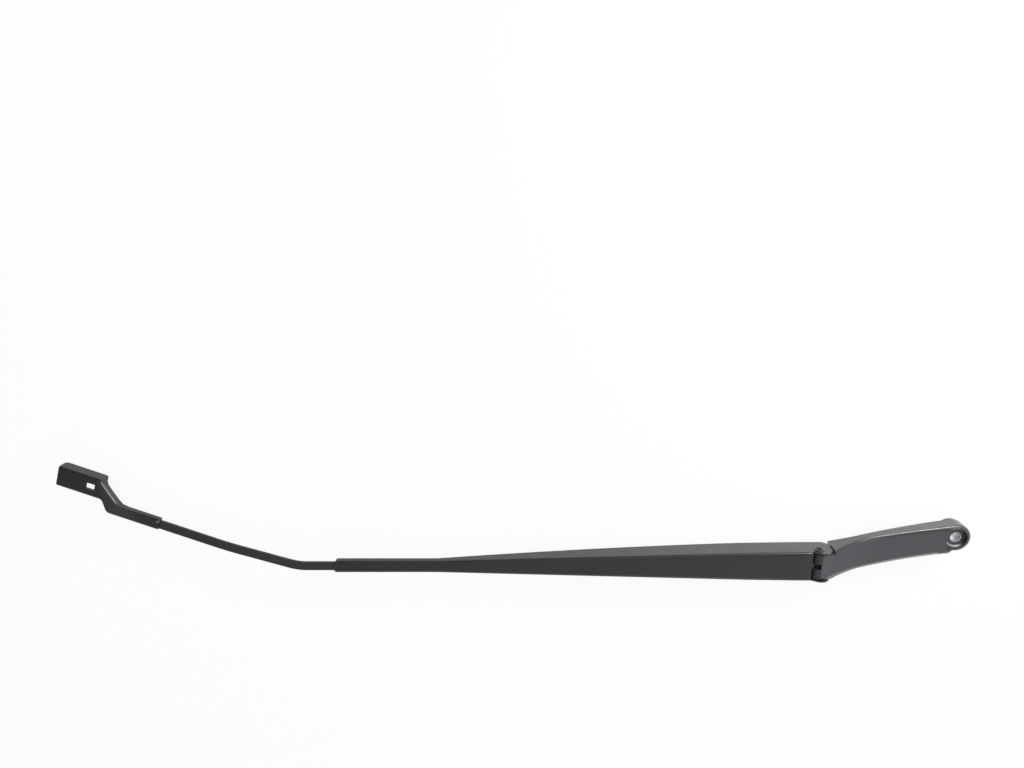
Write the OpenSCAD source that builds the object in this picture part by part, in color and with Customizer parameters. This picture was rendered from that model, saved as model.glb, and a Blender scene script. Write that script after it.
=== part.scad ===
// Front wiper arm with a cast head, an over-centre spring hinge, a tapered pressed
// channel, a flat bent rod and a push-button blade adaptor. Units are millimetres.
// The origin is on the spindle axis, level with the underside of the boss. +Z points
// out of the car, the blade end lies towards -X, and the adaptor is offset towards +Y.

/* [Layout] */
// Height of the outer face above the underside of the boss
face_z = 17; // [16:0.5:20]
// Distance along X from the spindle to the hinge pin
pivot_reach = 116.5; // [105:0.5:135]
// Sideways distance from the spindle to the channel's centre line
pivot_side = 27.8; // [24:0.2:31]
// Depth of the hinge axis below the outer face
pivot_drop = 5.5; // [5:0.1:6]

/* [Head] */
// Radius of the head's rounded end
end_r = 12.3; // [11.8:0.1:14]
// Edge radius round the rounded end
end_edge_r = 3; // [1.5:0.1:3.5]
// Radius of the boss that meets the spindle's shoulder
boss_r = 11.5; // [10:0.1:11.8]
// Height of the boss below the head's body
boss_h = 3.5; // [3:0.5:6]
// Radius of the bore at its narrow outer end
bore_r = 4.4; // [4:0.1:5]
// Length of the bore's straight stretch
bore_len = 6; // [4:0.5:7]
// Radius of the bore's wide end at the underside
bore_mouth_r = 5.9; // [5.2:0.1:6.5]
// Length of the plain mouth at the bore's wide end
mouth_len = 2; // [1:0.5:3]
// Radius of the nut's seat
seat_r = 8.5; // [8:0.1:9]
// Depth of the nut's seat below the rim of the face
seat_drop = 3.4; // [2.8:0.1:4]
// Depth of the dished face at the spindle end
dish_drop = 2.2; // [1.2:0.1:2.6]
// Width of the raised rim round the dished face
rim_w = 2; // [1.6:0.1:2.6]
// Radius of the rounded lower edge of the face
low_edge_r = 3; // [2:0.1:3.4]
// Radius of the upper edge of the face
top_edge_r = 1.2; // [0.8:0.1:1.6]
// Thickness of the casting's walls and ribs
cast_wall = 2.6; // [2:0.1:3.2]
// Number of cross ribs in the hollow underside
rib_count = 3; // [1:1:5]

/* [Hinge] */
// Radius of the hinge pin's shank
pin_r = 2.5; // [2.2:0.1:2.8]
// Radius of the hinge pin's two heads
pin_head_r = 4; // [3.4:0.1:4.5]
// Height of the hinge pin's heads
pin_head_h = 0.9; // [0.6:0.1:1.2]
// Wall of the hinge bushes
bush_wall = 1.3; // [1:0.1:1.5]
// Thickness of the bushes' flanges
bush_flange_t = 0.8; // [0.6:0.1:1.2]
// Play between each ear and its bush flange
side_play = 0.2; // [0.15:0.05:0.4]
// Running clearance on the radius of every pin
running = 0.05; // [0.02:0.01:0.08]
// Distance from the hinge axis to the end of the channel's web
web_gap = 6.5; // [6.3:0.1:7]
// Reach of the ears past the hinge axis
ear_reach = 12.1; // [11.5:0.1:12.6]
// Gap between the ears and the head's shoulder
shoulder_gap = 1.1; // [0.8:0.1:1.6]

/* [Spring link] */
// Distance from the hinge axis to the anchor pin
anchor_arm = 8; // [7.6:0.1:8.4]
// Angle of the anchor pin below the face, seen from the hinge axis
anchor_angle = 50; // [46:1:54]
// Radius of the anchor pin
anchor_r = 2; // [1.6:0.1:2.1]
// Thickness of the link
link_t = 3; // [2:0.1:3.4]
// Width of the link's straight bar
link_w = 4.4; // [4:0.1:4.8]
// Distance from the anchor pin to the spring's loop
link_len = 52; // [46:1:58]
// Slack in the link's eye, which lets the rigid spring stand in for one that stretches
eye_slack = 3.3; // [3.1:0.1:4]

/* [Spring] */
// Radius of the spring's wire
wire_r = 0.9; // [0.7:0.05:1]
// Mean radius of the coil
coil_r = 3.9; // [3.5:0.1:4]
// Pitch of the stretched coil
coil_pitch = 2.6; // [2.3:0.1:3.2]
// Distance along X from the hinge axis to the rod's foot, which holds the spring
foot_reach = 133.5; // [125:0.5:145]
// Depth of the spring's hook below the hinge axis
foot_drop = 5.5; // [5:0.1:6]

/* [Channel] */
// Thickness of the channel's sheet
sheet = 1.6; // [1.4:0.1:1.8]
// Outer bend radius of the channel
bend_r = 2.4; // [2:0.1:3]
// Width of the channel at the hinge
hinge_w = 28.2; // [27.6:0.1:29]
// Width of the channel where its taper begins
wide_w = 26.6; // [25:0.1:27.4]
// Depth of the channel at the hinge
hinge_depth = 20; // [19.5:0.1:21]
// Length of the channel's web
web_len = 415; // [380:1:450]
// Length of the nearly parallel part behind the hinge
wide_len = 59; // [40:1:80]
// Length of the part that is crimped round the rod
crimp_len = 86; // [60:1:100]
// Seam left open under the rod where the channel and the sleeve are crimped
seam_w = 1.6; // [1:0.1:2.4]

/* [Rod] */
// Width of the flat rod
rod_w = 8; // [7.6:0.1:9]
// Thickness of the flat rod
rod_t = 3; // [2.6:0.1:3.4]
// Radius of the rod's rounded edges
rod_edge_r = 0.8; // [0.5:0.1:1]
// Straight length of the rod between the channel and its first bend
rod_out = 30; // [15:1:40]
// Radius of the first bend
bend1_r = 56; // [50:1:100]
// Angle of the first bend
bend1_angle = 14.8; // [10:0.1:20]
// Straight length between the two bends
rod_mid = 43; // [30:1:60]
// Radius of the second, gentle bend
bend2_r = 380; // [300:10:500]
// Angle of the second bend
bend2_angle = 3.7; // [2:0.1:6]
// Straight length from the second bend to the adaptor's sleeve
rod_end = 51; // [30:1:60]
// Angle by which the outer rod leans towards the glass
rod_lean = 4; // [2:0.1:5]

/* [Blade adaptor] */
// Thickness of the adaptor's sheet
hood_sheet = 1.1; // [1:0.1:1.6]
// Outer width of the hood, a standard size for button couplings
hood_w = 19; // [18:0.1:20]
// Length of the hood
hood_len = 38; // [34:0.5:42]
// Depth of the hood's side walls
hood_depth = 10.6; // [9:0.1:12]
// Outer bend radius of the hood
hood_bend_r = 2; // [1.6:0.1:3]
// Offset of the hood's centre line from the sleeve's
hood_offset = 15.3; // [14:0.1:16]
// Length of the sleeve and neck, up to the hood
neck_len = 56; // [50:0.5:64]
// Length of the rod that the sleeve holds
rod_grip = 34; // [26:1:38]
// Length of the button window along the hood
window_len = 7.3; // [6:0.1:9]
// Width of the button window across the hood
window_w = 6.2; // [5.6:0.1:8]
// Distance from the hood's tip to the middle of the window
window_pos = 29.6; // [25:0.1:30]

/* [Hidden] */
$fn = 64;
eps = 0.02;
cut = 1;

// Hinge, spring anchor and spring foot, as points in the XZ plane
hinge = [-pivot_reach, face_z - pivot_drop];
anchor = hinge + anchor_arm * [cos(anchor_angle), -sin(anchor_angle)];
foot = hinge - [foot_reach, foot_drop];
line_len = norm(foot - anchor);
line_dir = (foot - anchor) / line_len;
line_a = atan2(-line_dir.y, -line_dir.x);

// Widths across the hinge
knuckle_half = hinge_w / 2 - sheet - bush_flange_t - side_play;
slot_half = link_t / 2 + 1;
bush_r = pin_r + bush_wall;
knuckle_r = pivot_drop;
shoulder_x = -pivot_reach + ear_reach + shoulder_gap;

// Head: its body runs from the spindle to the shoulder, and t grows from 0 to 1 on the way
head_len = -shoulder_x;
upper_lean = 10.3;
upper_bow = 6.4;
upper_flare_from = 0.72;
lower_start = 3.7;
lower_lean = 8.3;
lower_bow = 11.2;
lower_flare_from = 0.8;
lower_tuck_len = 4;
belly_rise = 8;
belly_drop_from = 0.72;
upper_end_y = end_r + 0.1;
upper_shoulder_y = -(pivot_side - hinge_w / 2) + 1;
lower_shoulder_y = -(pivot_side + hinge_w * 0.36);
dish_level = face_z - dish_drop;
dish_end_r = end_r - rim_w - 1.6;
hollow_z = dish_level - cast_wall;
hollow_from = shoulder_x + 9;
hollow_to = -end_r - 3;

// Channel
web_end_x = -pivot_reach - web_gap;
wide_x = web_end_x - wide_len;
crimp_x = web_end_x - web_len;
taper_x = crimp_x + crimp_len;
crimp_half = rod_w / 2 + sheet + eps;
crimp_depth = 2 * sheet + rod_t + eps;
crimp_corner_r = 3;
web_inner_z = face_z - sheet;
ear_r = 8.7;
ear_centre = hinge + [ear_reach - ear_r, -1.5];
ear_foot_cut = 2.5;
taper_power = 1.7;

// Rod
rod_top_z = web_inner_z - eps;
foot_bend_r = 2;
hook_r = wire_r + 1.3;
hook_hole_r = wire_r + 0.6;
foot_lip = 1.1;

// Adaptor, in the frame of its sleeve
sleeve_half = rod_w / 2 + hood_sheet + eps;
sleeve_depth = 2 * hood_sheet + rod_t + 2 * eps;
hood_low = hood_offset - hood_w / 2;
hood_high = hood_offset + hood_w / 2;
tip_a = -neck_len - hood_len;
crank_run = neck_len - rod_grip;
hood_corner_r = 3;
throat_r = 4;
elbow_r = 5.4;

// Unit vector, and a vector turned a quarter turn to the left
function unit(v) = v / norm(v);
function left(v) = [-v.y, v.x];

// Points of an arc, both ends included
function arc(c, r, a0, a1, n) = [for (i = [0:n]) c + r * [cos(a0 + (a1 - a0) * i / n), sin(a0 + (a1 - a0) * i / n)]];

// A counter-clockwise outline moved inwards by d
function inset(pts, d) =
    let (n = len(pts))
    [for (i = [0:n - 1])
        let (
            m = left(unit(pts[i] - pts[(i + n - 1) % n])),
            k = left(unit(pts[(i + 1) % n] - pts[i]))
        )
        pts[i] + (m + k) * d / (1 + m * k)];

// Share of the way from a to 1, zero before a
function past(t, a) = max(0, (t - a) / (1 - a));

// The head's two side walls and its underside at a given X
function head_t(x) = -x / head_len;
function upper_base(t) = upper_end_y - upper_lean * t - upper_bow * t * t;
function upper_y(x) =
    let (t = head_t(x))
    upper_base(t) + (upper_shoulder_y - upper_base(1)) * pow(past(t, upper_flare_from), 1.5);
function lower_base(t) = -end_r - lower_start - lower_lean * t - lower_bow * t * t;
function lower_tuck(x) = x > -lower_tuck_len ? (lower_start + 0.3) * pow(1 + x / lower_tuck_len, 1.5) : 0;
function lower_y(x) =
    let (t = head_t(x))
    lower_base(t) + lower_tuck(x)
        + (lower_shoulder_y - lower_base(1)) * pow(past(t, lower_flare_from), 1.6);
function belly_base(t) = boss_h + belly_rise * t;
function belly_z(x) =
    let (t = head_t(x))
    belly_base(t) + (face_z - hinge_depth - belly_base(1)) * pow(past(t, belly_drop_from), 1.65);

// Towards the hinge the radius of the face's upper edge grows and that of its lower edge
// shrinks, and the dished face runs out
function upper_edge_r(x) = top_edge_r + 4 * past(head_t(x), upper_flare_from);
function lower_edge_r(x) = low_edge_r - (low_edge_r - 0.7) * past(head_t(x), lower_flare_from);
function dish_depth(x) = dish_drop * pow(1 - past(head_t(x), 0.12), 1.4);

// The raised upper edge sinks into the rounded end's rim at the spindle
function edge_z(x) = face_z - (x > -lower_tuck_len ? 0.8 * (1 + x / lower_tuck_len) : 0);

// One cross-section of the head's body, as points in space
function head_section(x) =
    let (
        yu = upper_y(x),
        yl = lower_y(x),
        zb = belly_z(x),
        ru = upper_edge_r(x),
        rl = lower_edge_r(x),
        zf = face_z - dish_depth(x),
        ze = edge_z(x),
        rim_y = yu - max(rim_w, ru + 0.4),
        low = arc([yl + rl, zf - rl], rl, 180, 90, 5),
        high = arc([yu - ru, ze - ru], ru, 90, 0, 5),
        ring = concat([[yl, zb]], low, [[rim_y - 0.7, zf], [rim_y, ze]], high, [[yu, zb]])
    )
    [for (p = ring) [x, p.x, p.y]];

// A closed skin over a row of cross-sections that all have the same number of points
module skin(rows) {
    n = len(rows[0]);
    last = len(rows) - 1;
    sides = [for (i = [0:last - 1], j = [0:n - 1], k = [0, 1])
        let (a = i * n + j, b = i * n + (j + 1) % n)
        k == 0 ? [a, b, a + n] : [b, b + n, a + n]];
    front = [for (j = [n - 1:-1:0]) j];
    back = [for (j = [0:n - 1]) last * n + j];
    polyhedron([for (row = rows, p = row) p], concat([front], sides, [back]), convexity = 6);
}

// What a rounded edge takes off a block whose top is at z, along p to q with the block to the left
module edge_cut(p, q, r, z, before, after) {
    v = q - p;
    translate([p.x, p.y, z])
        rotate([0, 0, atan2(v.y, v.x)])
            translate([-before, 0, 0])
                rotate([90, 0, 90])
                    linear_extrude(norm(v) + before + after)
                        difference() {
                            translate([-cut, -r])
                                square([r + cut, r + cut]);
                            translate([r, -r])
                                circle(r);
                        }
}

// A block under z with the given outline, whose top edges are rounded
module rounded_block(pts, r, z, depth) {
    n = len(pts);
    difference() {
        translate([0, 0, z - depth])
            linear_extrude(depth)
                polygon(pts);
        if (r > 0.1)
            for (i = [0:n - 1]) {
                p0 = pts[(i + n - 1) % n];
                p = pts[i];
                q = pts[(i + 1) % n];
                q2 = pts[(i + 2) % n];
                convex_start = (p - p0) * left(q - p) < 0;
                convex_end = (q - p) * left(q2 - q) < 0;
                edge_cut(p, q, r, z, convex_start ? 0.5 : 0, convex_end ? 0.5 : 0);
            }
    }
}

// A cylinder along Y through a point of the XZ plane
module cross_cyl(p, r, y0, y1) {
    translate([p.x, y1, p.y])
        rotate([90, 0, 0])
            cylinder(r = r, h = y1 - y0);
}

// A profile of the XZ plane that spans y0 to y1
module cross_plate(y0, y1) {
    translate([0, y1, 0])
        rotate([90, 0, 0])
            linear_extrude(y1 - y0)
                children();
}

// Outer skin of the head's swan-necked body
module head_body() {
    steps = 26;
    skin([for (i = [0:steps]) head_section(shoulder_x * pow(1 - i / steps, 1.25))]);
}

// Rounded end and boss round the spindle
module head_end() {
    rotate_extrude($fn = 96)
        difference() {
            union() {
                square([boss_r, boss_h + cut]);
                translate([0, boss_h])
                    square([end_r, face_z - boss_h - end_edge_r]);
                translate([0, boss_h])
                    square([end_r - end_edge_r, face_z - boss_h]);
                translate([end_r - end_edge_r, face_z - end_edge_r])
                    circle(end_edge_r);
            }
            translate([-end_r, -cut])
                square([end_r, face_z + 2 * cut]);
        }
}

// Two lugs of the knuckle in profile, round the hinge pin and the anchor pin
module knuckle_profile() {
    side = left(unit(anchor - hinge));
    anchor_eye_r = anchor_r + 2.6;
    translate(hinge)
        circle(knuckle_r);
    translate(anchor)
        circle(anchor_eye_r);
    polygon([
        hinge + [0, knuckle_r],
        hinge - side * knuckle_r,
        anchor - side * anchor_eye_r,
        anchor - [0, anchor_eye_r],
        [shoulder_x + 1, belly_z(shoulder_x + 1) + 1.5],
        [shoulder_x + 1, face_z - 0.4],
        [shoulder_x - 0.3, face_z]
    ]);
}

// Two short noses that the channel's web rests on; they slope away past the web's end
module stop_noses() {
    nose_len = 5;
    nose_t = 3;
    top = web_inner_z - eps;
    from = slot_half;
    to = knuckle_half - 0.6;
    for (side = [-1, 1])
        cross_plate(-pivot_side + side * (from + to) / 2 - (to - from) / 2,
                    -pivot_side + side * (from + to) / 2 + (to - from) / 2)
            polygon([
                [web_end_x - nose_len, top - nose_t],
                [web_end_x - nose_len, top],
                [web_end_x - 1, top],
                [hinge.x - knuckle_r, hinge.y],
                [hinge.x, hinge.y],
                [hinge.x, hinge.y - 2],
                [web_end_x, hinge.y - 2]
            ]);
}

// The knuckle in plan: its lower end runs out into the body's lower wall
module knuckle_plan() {
    y = -pivot_side - knuckle_half;
    end_x = shoulder_x + 0.3;
    polygon([
        [hinge.x - hinge_depth, y],
        [shoulder_x - 2.6, y],
        [end_x, lower_y(end_x) + 0.05],
        [end_x, -pivot_side + knuckle_half],
        [hinge.x - hinge_depth, -pivot_side + knuckle_half]
    ]);
}

// Forked knuckle round the hinge pin and the anchor pin
module knuckle() {
    intersection() {
        cross_plate(-pivot_side - hinge_w, -pivot_side + hinge_w)
            knuckle_profile();
        translate([0, 0, -hinge_depth])
            linear_extrude(face_z + 2 * hinge_depth)
                knuckle_plan();
    }
}

// Space that the link sweeps through the knuckle as the arm is folded up
module link_slot() {
    bow_reach = 15.6;
    cross_plate(-pivot_side - slot_half, -pivot_side + slot_half) {
        intersection() {
            translate(anchor)
                circle(bow_reach);
            translate(anchor + [-bow_reach, -bow_reach])
                square([bow_reach + link_w + 0.4, bow_reach + 2.4]);
        }
        translate(anchor)
            circle(link_w + 0.4);
        translate([hinge.x - knuckle_r - cut, anchor.y])
            square([knuckle_r + cut + 1.8, face_z]);
    }
}

// The dished face runs on into a round recess inside the rim of the rounded end. The rim rises
// out of the dish by a ramp on the lower side
module dish() {
    from = -end_r - 1;
    mid_y = -dish_end_r / 2;
    low_y = -end_r - lower_start - 3;
    high = face_z + cut;
    translate([0, 0, dish_level]) {
        cylinder(r = dish_end_r, h = dish_drop + cut, $fn = 96);
        linear_extrude(dish_drop + cut)
            polygon([
                [from, upper_y(from) - rim_w],
                [from, mid_y - 1],
                [0, mid_y - 1],
                [0, dish_end_r - eps]
            ]);
    }
    cross_plate(low_y, mid_y)
        polygon([[from, dish_level], [-7, dish_level], [0, face_z + eps], [0, high], [from, high]]);
}

// Hollow underside with cross ribs
module hollow() {
    steps = 12;
    xs = [for (i = [0:steps]) hollow_from + (hollow_to - hollow_from) * i / steps];
    outline = concat(
        [for (x = xs) [x, lower_y(x) + cast_wall]],
        [for (i = [steps:-1:0]) [xs[i], upper_y(xs[i]) - cast_wall]]
    );
    pitch = (hollow_to - hollow_from) / (rib_count + 1);
    difference() {
        translate([0, 0, face_z - hinge_depth - cut])
            linear_extrude(hollow_z - face_z + hinge_depth + cut)
                polygon(outline);
        for (i = [1:rib_count])
            translate([hollow_from + i * pitch - cast_wall / 2, -pivot_side - hinge_w, belly_z(hollow_from + i * pitch) + 1])
                cube([cast_wall, pivot_side + 2 * hinge_w, face_z]);
    }
}

// Bore for the spindle: a straight stretch under the nut, then a taper and a plain mouth
module spindle_bore() {
    seat_z = face_z - seat_drop;
    translate([0, 0, seat_z])
        cylinder(r = seat_r, h = seat_drop + cut);
    translate([0, 0, seat_z - bore_len])
        cylinder(r = bore_r, h = bore_len + cut);
    rotate_extrude()
        polygon([
            [0, -cut],
            [bore_mouth_r, -cut],
            [bore_mouth_r, mouth_len],
            [bore_r, seat_z - bore_len],
            [0, seat_z - bore_len]
        ]);
}

// Cast head: body, spindle boss, forked knuckle and stop noses
module arm_head() {
    color("#3f4044")
        difference() {
            union() {
                difference() {
                    union() {
                        head_body();
                        head_end();
                    }
                    hollow();
                }
                knuckle();
                stop_noses();
            }
            dish();
            spindle_bore();
            link_slot();
            cross_cyl(hinge, bush_r, -pivot_side - hinge_w, -pivot_side + hinge_w);
            cross_cyl(anchor, anchor_r + eps, -pivot_side - hinge_w, -pivot_side + hinge_w);
        }
}

// Flanged plastic bush, pressed into one lug of the knuckle; side is +1 or -1
module hinge_bush(side) {
    sleeve_len = knuckle_half - slot_half;
    color("#26262a")
        translate([hinge.x, -pivot_side, hinge.y])
            rotate([-90 * side, 0, 0])
                difference() {
                    union() {
                        translate([0, 0, slot_half])
                            cylinder(r = bush_r - eps, h = sleeve_len);
                        translate([0, 0, knuckle_half])
                            cylinder(r = knuckle_r - 0.3, h = bush_flange_t);
                    }
                    cylinder(r = pin_r + running, h = hinge_w);
                }
}

module hinge_bush_upper() {
    hinge_bush(1);
}

module hinge_bush_lower() {
    hinge_bush(-1);
}

// Rivet through the ears, with a dished head on each side
module hinge_pin() {
    half = hinge_w / 2;
    dish_r = 1.7;
    color("#5a5b5e")
        translate([hinge.x, -pivot_side, hinge.y])
            for (side = [-1, 1])
                rotate([-90 * side, 0, 0])
                    rotate_extrude($fn = 48)
                        polygon([
                            [0, 0],
                            [pin_r, 0],
                            [pin_r, half + eps],
                            [pin_head_r, half + eps],
                            [pin_head_r, half + eps + pin_head_h * 0.6],
                            [pin_head_r - 0.7, half + eps + pin_head_h],
                            [dish_r, half + eps + pin_head_h],
                            [dish_r * 0.5, half + eps + pin_head_h * 0.35],
                            [0, half + eps + pin_head_h * 0.35]
                        ]);
}

// Pin pressed across the slot of the knuckle
module anchor_pin() {
    chamfer = 0.4;
    color("#9a9b9d")
        translate([anchor.x, -pivot_side, anchor.y])
            for (side = [-1, 1])
                rotate([-90 * side, 0, 0])
                    rotate_extrude($fn = 48)
                        polygon([
                            [0, 0],
                            [anchor_r, 0],
                            [anchor_r, knuckle_half - chamfer - 0.2],
                            [anchor_r - chamfer, knuckle_half - 0.2],
                            [0, knuckle_half - 0.2]
                        ]);
}

// Flat C-shaped link. In its own frame the anchor pin is at the origin and the bar runs along +X
module link_profile() {
    eye_r = anchor_r + 2;
    bow_c = [7.2, -0.5];
    bow_in = 4.3;
    bow_w = 3.5;
    slot_r = wire_r + 0.35;
    slot_a = link_len - 0.5;
    slot_b = link_len + eye_slack;
    tail_r = slot_r + 1.7;
    difference() {
        union() {
            circle(eye_r);
            intersection() {
                translate(bow_c)
                    circle(bow_in + bow_w);
                translate([-eye_r, -20])
                    square([bow_c.x + 30, 20 + bow_c.y]);
            }
            translate([bow_c.x + bow_in, -link_w / 2])
                square([slot_b - bow_c.x - bow_in, link_w]);
            translate([slot_b, 0])
                circle(tail_r);
        }
        translate(bow_c)
            circle(bow_in);
        circle(anchor_r + running);
        for (a = [slot_a, slot_b])
            translate([a, 0])
                circle(slot_r);
        translate([slot_a, -slot_r])
            square([slot_b - slot_a, 2 * slot_r]);
    }
}

module spring_link() {
    color("#8d8f92")
        translate([anchor.x, -pivot_side + link_t / 2, anchor.y])
            rotate([90, 0, 0])
                linear_extrude(link_t)
                    rotate(line_a)
                        mirror([1, 0])
                            link_profile();
}

// Places a shape drawn along the line from the spring's hook (origin) towards the anchor pin (+X)
module on_spring_line() {
    translate([foot.x, -pivot_side, foot.y])
        rotate([0, -line_a, 0])
            children();
}

// Centre line of the spring's wire, from the hook in the rod's foot to the loop in the link
loop_r = coil_r - 0.5;
loop_x = line_len - link_len;
coil_from = 11;
coil_to = loop_x - loop_r - 7;
turns = floor((coil_to - coil_from) / coil_pitch) + 0.25;
turn_steps = 12;
hook_end_x = -rod_t / 2 - 0.5;
function hook_path() = concat(
    [[hook_end_x + 4, 0, -hook_r]],
    [for (i = [0:6]) [hook_end_x - hook_r * sin(30 * i), 0, -hook_r * cos(30 * i)]],
    [[hook_end_x + 6, 0, hook_r], [coil_from - 2.5, 0, hook_r + 0.35 * (coil_r - hook_r)]]
);
function coil_path() = [for (i = [0:turns * turn_steps])
    let (a = 90 - 360 * i / turn_steps, x = coil_from + (coil_to - coil_from) * i / (turns * turn_steps))
    [x, coil_r * cos(a), coil_r * sin(a)]];
function loop_path() = concat(
    [[coil_to + 1.6, coil_r - 0.1, -0.4 * coil_r], [coil_to + 3.2, loop_r + 0.1, 0]],
    [for (i = [0:6]) [loop_x - loop_r + loop_r * sin(30 * i), loop_r * cos(30 * i), 0]],
    [[loop_x - loop_r - 3.4, -loop_r, 0]]
);

// A round wire along a path, whose rings are carried along without twisting
function carried(path, i, u) =
    let (
        a = path[max(0, i - 1)],
        b = path[min(len(path) - 1, i + 1)],
        t = unit(b - a),
        w = unit(u - (u * t) * t)
    )
    [t, w];
function frames(path, i, u) =
    i == len(path) ? [] : let (f = carried(path, i, u)) concat([f], frames(path, i + 1, f[1]));
module wire(path, r, sides) {
    f = frames(path, 0, [0.1, 1, 0.2]);
    skin([for (i = [0:len(path) - 1])
        [for (j = [0:sides - 1])
            let (a = 360 * j / sides)
            path[i] + r * (cos(a) * f[i][1] + sin(a) * cross(f[i][0], f[i][1]))]]);
}

module tension_spring() {
    color("#a8a9ab")
        on_spring_line()
            wire(concat(hook_path(), coil_path(), loop_path()), wire_r, 6);
}

// Half width of the channel, and the height of its rear edge, at the stations along X
over = 5;
channel_stations = [
    [crimp_x - over, crimp_half],
    [taper_x, crimp_half],
    [wide_x, wide_w / 2],
    [web_end_x - 8, hinge_w / 2],
    [web_end_x + over, hinge_w / 2]
];
function channel_outline() = concat(
    [for (i = [0:4]) [channel_stations[i].x, -pivot_side - channel_stations[i].y]],
    [for (i = [4:-1:0]) [channel_stations[i].x, -pivot_side + channel_stations[i].y]]
);
function rear_z(x) =
    let (t = (x - taper_x) / (wide_x - taper_x))
    face_z - crimp_depth - (hinge_depth - crimp_depth) * (1 - pow(1 - t, taper_power));

// The channel's hollow is open at both ends
function channel_void() = [for (p = inset(channel_outline(), sheet))
    p.x > web_end_x ? [p.x + 2 * sheet, p.y] : p.x < taper_x - sheet ? [p.x - 2 * sheet, p.y] : p];

// What is trimmed off the channel: all behind its rear edge and past its two ends
module channel_trim() {
    steps = 12;
    curve = [for (i = [0:steps])
        let (x = taper_x + (wide_x - taper_x) * i / steps)
        [x, rear_z(x)]];
    low = -hinge_depth - cut;
    high = face_z + hinge_depth;
    polygon(concat(
        [[crimp_x - 4 * over, low], [crimp_x - 4 * over, high], [crimp_x, high], [crimp_x, face_z - crimp_depth]],
        curve,
        [[web_end_x, face_z - hinge_depth], [web_end_x, high], [web_end_x + 4 * over, high], [web_end_x + 4 * over, low]]
    ));
}

// Ear profile: the side wall runs on past the web and rounds up over the hinge pin
module ear_profile() {
    rear = face_z - hinge_depth;
    right_x = hinge.x + ear_reach;
    translate(ear_centre)
        circle(ear_r);
    polygon([
        [web_end_x - 4, rear],
        [right_x - ear_foot_cut - 1.5, rear],
        [right_x, rear + ear_foot_cut + 1],
        [right_x, ear_centre.y],
        ear_centre + ear_r * [cos(115), sin(115)],
        [web_end_x, face_z - bend_r - 0.2],
        [web_end_x - 4, face_z - bend_r - 0.2]
    ]);
}

// Pressed channel, crimped round the rod at its narrow end
module channel() {
    half = hinge_w / 2;
    color("#37373a")
        difference() {
            union() {
                difference() {
                    rounded_block(channel_outline(), bend_r, face_z, hinge_depth);
                    translate([0, 0, face_z - hinge_depth - cut])
                        linear_extrude(hinge_depth + cut - sheet)
                            polygon(channel_void());
                    cross_plate(-pivot_side - hinge_w, -pivot_side + hinge_w)
                        channel_trim();
                    for (side = [-1, 1])
                        translate([crimp_x, -pivot_side + side * crimp_half, 0])
                            rotate([0, 0, side > 0 ? -90 : 0])
                                corner_cut(crimp_corner_r);
                }
                for (side = [-1, 1])
                    cross_plate(-pivot_side + side * (half - sheet / 2) - sheet / 2,
                                -pivot_side + side * (half - sheet / 2) + sheet / 2)
                        ear_profile();
                for (side = [-1, 1])
                    translate([crimp_x + crimp_corner_r,
                               -pivot_side + side * (crimp_half + seam_w / 2) / 2 - (crimp_half - seam_w / 2) / 2,
                               face_z - crimp_depth])
                        cube([crimp_len - crimp_corner_r - 2, crimp_half - seam_w / 2, sheet - eps]);
            }
            cross_cyl(hinge, pin_r + eps, -pivot_side - hinge_w, -pivot_side + hinge_w);
        }
}

// What is cut off a square corner at the origin, whose block lies towards +X and +Y
module corner_cut(r) {
    translate([0, 0, -hinge_depth - cut])
        linear_extrude(face_z + hinge_depth + 2 * cut)
            difference() {
                translate([-cut, -cut])
                    square([r + cut, r + cut]);
                translate([r, r])
                    circle(r);
            }
}

// A path in the plane of the rod starts towards -X and turns towards +Y by its heading h
function ahead(p, h, s) = p + s * [-cos(h), sin(h)];
function turned(p, h, r, a, i, n) = p + r * ([sin(h), cos(h)] - [sin(h + a * i / n), cos(h + a * i / n)]);

// Outer stretch of the rod's centre line, as points that carry their heading
function rod_path() =
    let (
        n1 = 14,
        n2 = 10,
        h1 = bend1_angle,
        h2 = bend1_angle + bend2_angle,
        p1 = turned([0, 0], 0, bend1_r, bend1_angle, 1, 1),
        p2 = ahead(p1, h1, rod_mid),
        p3 = turned(p2, h1, bend2_r, bend2_angle, 1, 1),
        p4 = ahead(p3, h2, rod_end + rod_grip)
    )
    concat(
        [for (i = [0:n1]) concat(turned([0, 0], 0, bend1_r, bend1_angle, i, n1), h1 * i / n1)],
        [for (i = [0:n2]) concat(turned(p2, h1, bend2_r, bend2_angle, i, n2), h1 + bend2_angle * i / n2)],
        [concat(p4, h2)]
    );

// Section of the flat rod, with rounded edges, as points across it and below its upper face
function rod_ring() =
    let (r = rod_edge_r, w = rod_w / 2, n = 3)
    concat(
        arc([w - r, -r], r, 0, 90, n),
        arc([r - w, -r], r, 90, 180, n),
        arc([r - w, r - rod_t], r, 180, 270, n),
        arc([w - r, r - rod_t], r, 270, 360, n)
    );

// A ring of the rod at a point of the outer stretch, which leans towards the glass
function outer_ring(q) = [for (p = rod_ring())
    let (x = q[0] + p.x * sin(q[2]), y = q[1] + p.x * cos(q[2]))
    [
        crimp_x - rod_out + x * cos(rod_lean) - p.y * sin(rod_lean),
        -pivot_side + y,
        rod_top_z + p.y * cos(rod_lean) + x * sin(rod_lean)
    ]];
function straight_ring(x) = [for (p = rod_ring()) [x, -pivot_side + p.x, rod_top_z + p.y]];

// Moves its children to the end of a bend and the straight stretch after it
module past_bend(r, a, straight) {
    translate([0, r, 0])
        rotate([0, 0, -a])
            translate([-straight, -r, 0])
                children();
}

// Places what follows the rod's straight stretch: it leans towards the glass
module past_first_bend() {
    translate([crimp_x - rod_out, -pivot_side, rod_top_z])
        rotate([0, -rod_lean, 0])
            children();
}

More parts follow.
